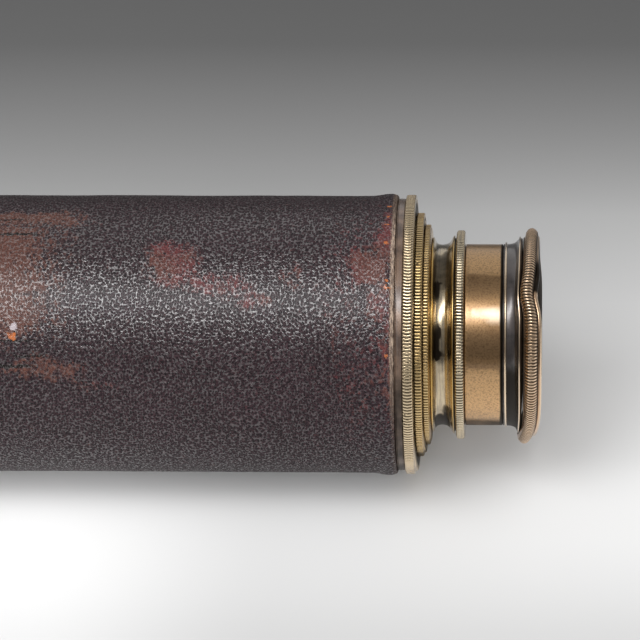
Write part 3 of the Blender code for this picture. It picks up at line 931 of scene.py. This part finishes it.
def make_sleeve():
    sleeve = rounded(
        [(12.42, 17.95), (12.42, 18.8, 0.08), (12.55, 18.92, 0.08), (20.05, 18.92, 0.1),
         (20.15, 18.7, 0.05), (20.15, 17.95)]
    )

    def sleeve_wear_and_painted_light(u, r, turn):
        a = above_view(turn) + 1.2 * ring_noise(u, turn, 3, 20, 91) + 0.25 * (u - 16)
        # painted reflections: outside this band of angles the sleeve takes the lighter gold colour,
        # standing for the bright backdrop and floor that it mirrors
        dark_reflection_band = between(a, -22.6, -21.4, 40.2, 41.4)
        edges = 0.9 * smooth_step(u, 19.35, 19.8) + 0.5 * bump_at(u, 12.42, 0.12)
        return u, r, {
            "gold": np.maximum(1 - dark_reflection_band, bump_at(u, 12.4, 0.5)),
            # painted highlight: a pale band where the light's reflection lies
            "bare_and_highlight": 0.55 * bump_at(a, 13.5, 8) * smooth_step(u, 12.8, 14),
            # painted shade: darker underneath, besides the dirt at the ends
            "soil_and_shade": np.maximum(edges, 0.7 * between(-a, 58, 74, 115, 140)),
        }

    body = revolve("eyepiece_sleeve_satin", subdivided(sleeve, 0.5), 256, sleeve_wear_and_painted_light)
    install(body, "sleeve", "eyepiece_sleeve", "draw_3", "brass_sleeve")


def make_cup():
    cup = rounded(
        [(20.22, 17.95), (20.22, 18.92, 0.06), (20.52, 18.94, 0.06), (20.56, 19.28, 0.08),
         (20.8, 19.42, 0.1), (21.02, 19.28, 0.08), (21.08, 18.98, 0.06), (21.9, 19.02, 0.3),
         (22.8, 19.35, 0.5), (23.35, 20, 0.3), (23.55, 20.5, 0.06), (23.8, 20.58, 0.08),
         (23.9, 20.25, 0.08), (24.2, 20.1, 0.05), (24.2, 17.4), (21.8, 17.4),
         (21.8, 17.95)]
    )

    def cup_bend(u, r, turn):
        bent, _ = cap_bend(np.full_like(u, 25), np.full_like(r, 21), turn)
        moved = u + 0.3 * smooth_step(u, 22.6, 23.6) * np.maximum(bent - 25, -1)
        neck = smooth_step(u, 21, 21.15) * (1 - smooth_step(r, 20.2, 20.4))
        # painted shade: the neck is darkened on its lower side
        painted_shade_below = 0.85 * smooth_step(-above_view(turn), 8, 30) * neck
        edges = 0.8 * bump_at(u, 20.35, 0.16) + 0.7 * bump_at(u, 24.1, 0.15)
        bead = 1.6 * bump_at(r, 19.42, 0.3) * (u < 21.5) * (u > 20.45)
        bare_and_highlight = bead + 0.95 * bump_at(r, 20.6, 0.13)
        return moved, r, {"soil_and_shade": np.maximum(edges, painted_shade_below), "bare_and_highlight": bare_and_highlight}

    body = revolve("eye_cup_oxidised", cup, 256, cup_bend)
    install(body, "dark", "eye_cup", "draw_3", "brass_oxidised")


def make_eye_cap():
    outline = (
        [(24.35, 17.3), (24.35, 20.3, 0.1), (24.75, 20.45, 0.1), (24.88, 21.1, 0.06)]
        + crown(24.93, 27.38, 22.32, 0.95, 10, 2.3)
        + [(27.43, 21.1, 0.04), (27.52, 20.6, 0.06), (27.62, 20.75, 0.06), (27.95, 20.72, 0.12),
           (28.24, 20.35, 0.12), (28.26, 19.6, 0.15), (27.7, 18.7, 0.2), (26.6, 18.1, 0.3),
           (25.5, 17.7, 0.15), (25.5, 4.2, 0.1), (24.7, 4.2, 0.1), (24.7, 17.3)]
    )
    ridges = 204
    mill = milling(ridges, [(24.88, 27.44, 21.2)], 0.32, 71)
    dirt = soiled(
        [(24.5, 20.3, 0.3), (27.5, 20.6, 0.12), (25.5, 14, 3.2)],
        [(26, 29, 0.3, 0.15), (26.4, 24, 0.2, 0.15), (26.3, -25, 0.2, 0.15)],
    )

    def warp(u, r, turn):
        u, r, found = mill(u, r, turn)
        _, r, soil_and_shade = dirt(u, r, turn)
        a = above_view(turn)
        # painted shade: the inside of the cap is darkened
        inside_shade = smooth_step(u, 25.2, 25.6) * between(r, 16.5, 17.2, 19.5, 19.9)
        # painted shade: behind the dent the end of the lip is made near black, standing for the
        # dark inside seen through the dent, and its bright edge is taken away there
        black = (0.9 - 0.4 * smooth_step(a, 40, 55)) * between(a, 22, 27, 110, 130)
        black = black * (u > 27.48) * (r > 19)
        rim_edge = 0.75 * smooth_step(u, 26.9, 27.4) * (r > 20.8)
        for share in (soil_and_shade, rim_edge, inside_shade, black):
            soil_and_shade = np.maximum(soil_and_shade, share)
        lip = 1.2 * bump_at(u, 28.12, 0.13) * bump_at(r, 20.5, 0.3)
        found["soil_and_shade"] = np.maximum(1.4 * found["soil_and_shade"], soil_and_shade)
        found["bare_and_highlight"] = np.maximum(found["bare_and_highlight"], lip) * (1 - black)
        return *cap_bend(u, r, turn), found

    body = revolve("eye_cap_dented", rounded(outline, 2), ridges * RIDGE_SAMPLES, warp)
    install(body, "copper", "eye_cap", "draw_3", "copper_worn")


def lens_profile(front, front_sag, back, back_sag, radius):
    """Closed half profile of a lens; a sag moves the edge along the axis."""
    steps = [k / 16 for k in range(17)]
    face = [(front + front_sag * t * t, radius * t) for t in steps]
    return np.array(face + [(back + back_sag * t * t, radius * t) for t in reversed(steps)])


def make_lenses():
    for node, ride_on, faces in (
        ("crown_lens", "barrel", (-217.4, 2.25, -210.9, -2.25)),
        ("flint_lens", "barrel", (-210.6, -2.25, -208.2, 0)),
        ("eye_lens", "draw_3", (14.65, 1.3, 17.6, 0)),
    ):
        low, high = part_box(node)
        profile = lens_profile(*faces, (high.z - low.z) / 2 / MM)
        body = revolve(node + "_ground", profile, 96, solid=True)
        install(body, "glass", node, ride_on, "optical_glass")


def blade(name, outline, low, high, bevel=0.07):
    """Flat plate with rounded edges; the outline is in millimetres (y, z) about the axis."""
    points = np.array(outline)
    ahead = np.roll(points, -1, axis=0) - np.roll(points, 1, axis=0)
    normal = np.stack([ahead[:, 1], -ahead[:, 0]], axis=1)
    normal /= np.linalg.norm(normal, axis=1)[:, None]
    layers = [
        (low, bevel), (low + bevel * 0.3, bevel * 0.3), (low + bevel, 0), (high - bevel, 0),
        (high - bevel * 0.3, bevel * 0.3), (high, bevel),
    ]
    places = [at(u, *point) for u, inset in layers for point in points - normal * inset]

    def change(build):
        ends = [f for f in build.faces if len(f.verts) > 4]
        bmesh.ops.triangulate(build, faces=ends)
        bmesh.ops.recalc_face_normals(build, faces=build.faces)

    body = mesh_of(name, places, stacked_faces(len(layers), len(points)), change)
    body.data.set_sharp_from_angle(angle=math.radians(40))
    return body


def make_shutter():
    pivot, big, boss = 9.5, 5.6, 2.3  # the rivet under the axis, then the two radii of the blade
    tilt = math.asin((big - boss) / pivot)

    def arc(radius, middle, first, last, count):
        turns = np.linspace(first, last, count)
        return [(radius * math.cos(a), middle + radius * math.sin(a)) for a in turns]

    outline = arc(big, 0, -tilt, math.pi + tilt, 48)
    outline += arc(boss, -pivot, math.pi + tilt, 2 * math.pi - tilt, 24)
    body = blade("eye_shutter_blade", outline, 25.65, 26.15)
    install(body, "draw", "eye_shutter", "eye_shutter", "brass_polished")
    rivet = rounded(
        [(23.9, 0), (23.9, 1.55, 0.15), (24.5, 1.6, 0.05), (24.5, 0.9), (26.3, 0.9),
         (26.32, 1.8, 0.1), (26.62, 1.7, 0.15), (26.85, 1.1, 0.2), (26.92, 0)]
    )
    rivet[[0, -1], 1] = 0
    body = revolve("shutter_rivet_domed", rivet, 48, centre=(0, -pivot), solid=True)
    install(body, "draw", "shutter_rivet", "draw_3", "brass_polished")
    knob = rounded(
        [(26.3, 0), (26.3, 0.72, 0.05), (26.6, 0.56, 0.15), (26.95, 0.62, 0.12),
         (27.1, 1.08, 0.08), (27.6, 1.1, 0.1), (27.76, 0.7, 0.12), (27.8, 0)]
    )
    knob[[0, -1], 1] = 0
    ridges, knob_place = 26, (0, 3.9)
    mill = milling(ridges, [(27.05, 27.62, 0.95)], 0.09, 91)
    columns = ridges * RIDGE_SAMPLES
    body = revolve("shutter_knob_milled", knob, columns, mill, centre=knob_place, solid=True)
    install(body, "draw", "shutter_knob", "eye_shutter", "brass_polished")


def clean(u, r, turn):
    return u, r, {"soil_and_shade": np.zeros_like(r)}


def darker_below(u, r, turn):
    """Darker below the line of view, all round the underside."""
    return u, r, {"soil_and_shade": 0.66 * between(-above_view(turn), -2, 26, 120, 150) + 0 * r}


def tube(left, right, bore, outer):
    return [(left, bore), (left, outer), (right, outer, 0.05), (right, bore)]


def make_plain():
    """Smooth turned versions of the CAD pieces that have no special shape."""
    pieces = [
        ("barrel_collar", "barrel", "collar", "brass_collar",
         [(-16, 26.3), (-16, 26.95), (-1.66, 26.95), (-1.66, 28.35, 0.1),
          (-1.4, 28.42, 0.05), (-1.34, 28.3, 0.03), (-1.28, 28.42, 0.05), (-0.1, 28.38, 0.15),
          (-0.05, 26.3)]),
        ("objective_collar", "barrel", "draw", "brass_polished",
         [(-226, 26, 0.2), (-226, 28.4, 0.3), (-213.6, 28.4, 0.05), (-213.5, 28.2, 0.05),
          (-213.3, 28.4, 0.05), (-212.3, 28.4, 0.1), (-212.3, 26.95), (-200, 26.95),
          (-200, 26)]),
        ("objective_cell", "barrel", "black", "brass_blackened",
         [(-223, 23.75, 0.2), (-223, 25.85, 0.1), (-206, 25.85), (-206, 22.4),
          (-208, 22.4), (-208, 23.75)]),
        ("objective_retaining_ring", "barrel", "black", "brass_blackened",
         [(-217.4, 22.4, 0.15), (-217.4, 23.6, 0.1), (-215.6, 23.6), (-215.6, 22.4)]),
        ("draw_1_tube", "draw_1", "draw", "brass_draw", tube(-186, 2.3, 23.4, 24)),
        ("draw_2_tube", "draw_2", "draw", "brass_draw", tube(-174, 4, 21, 21.6)),
        ("draw_3_tube", "draw_3", "draw", "brass_draw", tube(-162, 5.35, 18.6, 19.2)),
        ("eyepiece_inner_tube", "draw_3", "black", "brass_blackened",
         tube(-26, 21.6, 17.2, 17.8)),
    ]
    for node, ride_on, material, slot, outline in pieces:
        warp = darker_below if material == "collar" else clean
        body = revolve(node + "_turned", rounded(outline), 192, warp)
        install(body, material, node, ride_on, slot)


def make_cap():
    outline = (
        [(-228, 0), (-228, 28.4, 0.3), (-227.6, 29.15, 0.4), (-218.1, 29.15, 0.1)]
        + crown(-217.9, -216.5, 29.48, 0.3)
        + [(-216.35, 29.1, 0.1), (-216.35, 28.6, 0.1), (-227.2, 28.6, 0.3), (-227.2, 0)]
    )
    profile = subdivided(rounded(outline), 1.6)
    profile[[0, -1], 1] = 0
    ridges, samples = 258, 4
    mill = milling(ridges, [(-217.9, -216.5, 28.9)], 0.18, 81)
    body = revolve("dust_cap_turned", profile, ridges * samples, mill, solid=True)
    install(body, "draw", "dust_cap", "dust_cap", "brass_polished")


def finish_cad_nodes():
    """Materials of the CAD nodes that stay as they are, inside the tubes."""
    for name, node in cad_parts.items():
        if node.hide_render:
            continue
        glass = "lens" in name and "cell" not in name
        node.data.materials.clear()
        node.data.materials.append(MAT["glass" if glass else "black"])


# ---- set and camera


def make_floor():
    """Pale sweep: a near part that the brass mirrors, and an apron round it that it doesn't."""
    t = new_material("floor_pale")
    along, across = t.split(t.place())[:2]
    away = t.math("DIVIDE", t.plus(across, 0.08), 0.3, clamp=True)
    # painted light falloff: the floor's colour is lightest under the object and darkens towards the
    # back, and a little towards the front
    shade = t.ramp(
        away,
        [(0.047, 0.66), (0.1, 0.78), (0.16, 0.9), (0.25, 0.94), (0.43, 0.56), (0.54, 0.375),
         (0.6, 0.272), (0.658, 0.206), (0.715, 0.157), (0.771, 0.115), (1, 0.079)],
        "B_SPLINE",
    )
    # painted shadow: the floor darkens towards the right, fading towards the back, standing for the
    # object's soft shadow
    aside = t.times(t.span(along, 0.02, 0.075), t.span(away, 0.25, 0.62, 0.24, 0.03))
    shade = t.mix(aside, shade, (0, 0, 0))
    t.finish(Base_Color=shade, Roughness=0.9, Specular_IOR_Level=0.1)
    reach, border = 3, -0.17
    parts = (("floor_near", border, reach, True), ("floor_apron", -reach, border, False))
    for name, low, high, mirrored in parts:
        mesh = bpy.data.meshes.new(name)
        corners = [(-reach, low, 0), (reach, low, 0), (reach, high, 0), (-reach, high, 0)]
        mesh.from_pydata(corners, [], [(0, 1, 2, 3)])
        mesh.materials.append(t.owner)
        floor = put_in_scene(name, mesh)
        floor.visible_glossy = mirrored


def make_world():
    """A sky for reflections, with plain greys for the camera and for diffuse light."""
    world = bpy.data.worlds.new("studio")
    bpy.context.scene.world = world
    world.cycles.sampling_method = "NONE"  # each kind of ray then sees only its own sky
    t = Tree(world)
    _, y, z = t.split(t.node("TexCoord").outputs["Generated"])
    height = t.span(t.math("ARCTAN2", z, y), 0, math.pi, kind="LINEAR")
    sky = (  # degrees from the far horizon over the top, and the grey there
        (50, 0.52), (57, 0.5), (61, 0.19), (75, 0.26), (90, 0.34), (135, 0.34), (150, 0.22),
        (165, 0.15),
    )
    ray = t.node("LightPath").outputs
    colour = t.ramp(height, [(degrees / 180, grey) for degrees, grey in sky])
    colour = t.mix(ray["Is Camera Ray"], colour, (0.6, 0.6, 0.6))
    colour = t.mix(ray["Is Diffuse Ray"], colour, (0.58, 0.58, 0.58))
    t.fill(t.tree.nodes["Background"], Color=colour, Strength=1)


def soft_lamp(name, elevation, aside, distance, wide, high, power, spread=0):
    """Softbox facing the object from the camera's side.

    With a spread it is brightest along its middle, and the brass mirrors it.
    """
    data = bpy.data.lights.new(name, "AREA")
    data.shape, data.size, data.size_y, data.energy = "RECTANGLE", wide, high, power
    t = Tree(data)
    if spread:
        x, y, _ = t.split(t.node("NewGeometry").outputs["Parametric"])
        across = t.math("DIVIDE", t.minus(y, 0.5), spread)
        fade = t.math("EXPONENT", t.times(t.times(across, across), -1))
        side = t.math("ABSOLUTE", t.swing(x, 2))
        ends = t.minus(1, t.math("POWER", side, 5))
        t.fill(t.tree.nodes["Emission"], Strength=t.times(fade, ends))
    angle, turn = math.radians(elevation), math.radians(aside)
    level = math.cos(turn)
    away = Vector((math.sin(turn), -math.cos(angle) * level, math.sin(angle) * level))
    lamp = put_in_scene(name, data)
    lamp.location = Vector(at(0, 0, 0)) + away * distance
    lamp.rotation_mode = "QUATERNION"
    lamp.rotation_quaternion = (-away).to_track_quat("-Z", "Y")
    lamp.visible_camera = False
    lamp.visible_glossy = bool(spread)


def make_light():
    # name, elevation, turn aside, distance, width, height, power
    soft_lamp("softbox_key", 68.5, -11, 1, 1.05, 0.5, 10.2, 0.26)
    soft_lamp("softbox_left", 56, -28, 1, 0.5, 0.4, 3.6)
    soft_lamp("softbox_front", 30, 10, 1.1, 1.2, 0.4, 7)


def make_camera():
    turn = math.radians(3.1)  # the eyepiece end comes this far towards the camera
    tilt = math.radians(0.2)
    distance = 0.894
    aim_station = -18.2
    aim_over = 0.0029345838  # the camera aims this far over the axis
    level = math.cos(turn) * math.cos(VIEW_ELEVATION)
    look = Vector((-math.sin(turn), level, -math.cos(turn) * math.sin(VIEW_ELEVATION)))
    axis = Vector((1, 0, 0))
    right = (axis - look * axis.dot(look)).normalized()
    up = right.cross(look).normalized()
    cos, sin = math.cos(tilt), math.sin(tilt)
    right, up = right * cos + up * sin, up * cos - right * sin
    data = bpy.data.cameras.new("camera")
    data.lens = 239.90625
    data.sensor_width = 36.0
    data.clip_start = 0.05
    data.clip_end = 20
    camera = put_in_scene("camera", data)
    camera.location = Vector(at(aim_station, 0, 0)) + up * aim_over - look * distance
    camera.rotation_mode = "QUATERNION"
    camera.rotation_quaternion = Matrix((right, up, -look)).transposed().to_quaternion()
    bpy.context.scene.camera = camera


make_leather()
make_stitches()
make_rings()
make_waist()
make_sleeve()
make_cup()
make_eye_cap()
make_lenses()
make_shutter()
make_plain()
make_cap()
finish_cad_nodes()
make_floor()
make_world()
make_light()
make_camera()
bpy.context.scene.view_settings.view_transform = "Standard"
